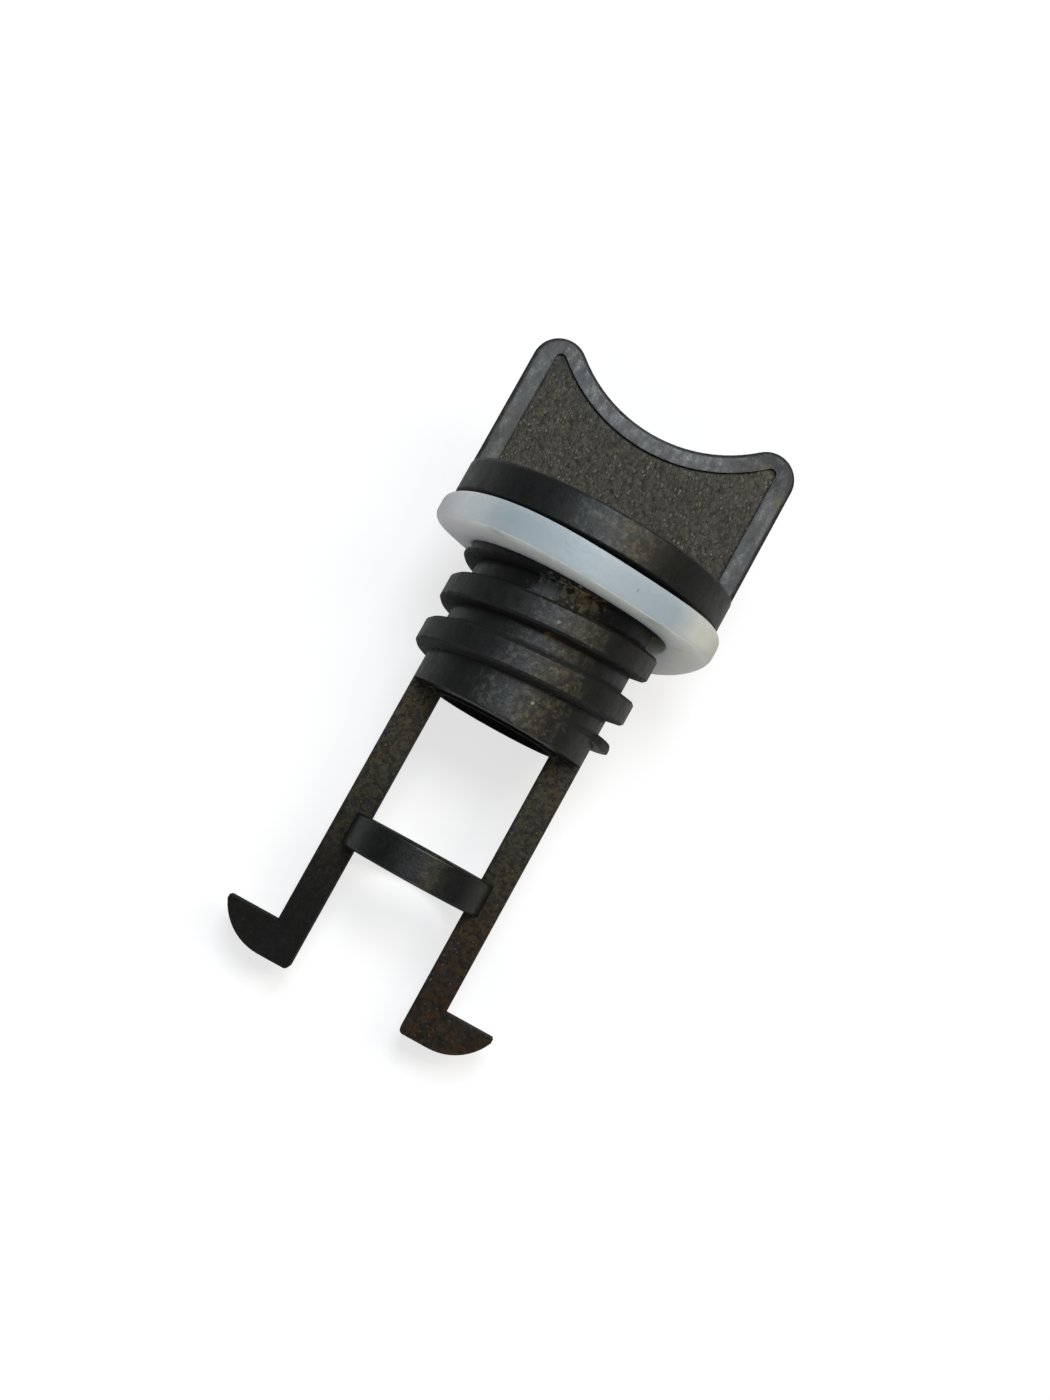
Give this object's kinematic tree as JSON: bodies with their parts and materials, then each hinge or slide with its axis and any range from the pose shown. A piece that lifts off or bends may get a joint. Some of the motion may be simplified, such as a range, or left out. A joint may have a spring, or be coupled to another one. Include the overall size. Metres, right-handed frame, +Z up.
{
  "type": "boat drain plug",
  "caption": "Threaded boat drain plug with a winged finger grip, a flange and sealing washer, and two hooked legs that keep it in its socket.",
  "frame": {"origin": "on the floor, below the middle of the whole part as it lies on its back", "axes": "+Y along the plug from the hooks to the grip, tilted up by 13 degrees, +X across the grip to the right as seen from above with the grip away from the viewer, +Z up"},
  "size_m": [0.0316, 0.0678, 0.0313],
  "materials": {
    "plug_plastic": "satin black moulded plastic, fine-grained on the grip's panel and the legs",
    "washer_rubber": "milky, slightly translucent soft washer"
  },
  "bodies": {
    "root": {"plug_body": "plug_plastic", "sealing_washer": "washer_rubber"}
  },
  "joints": []
}
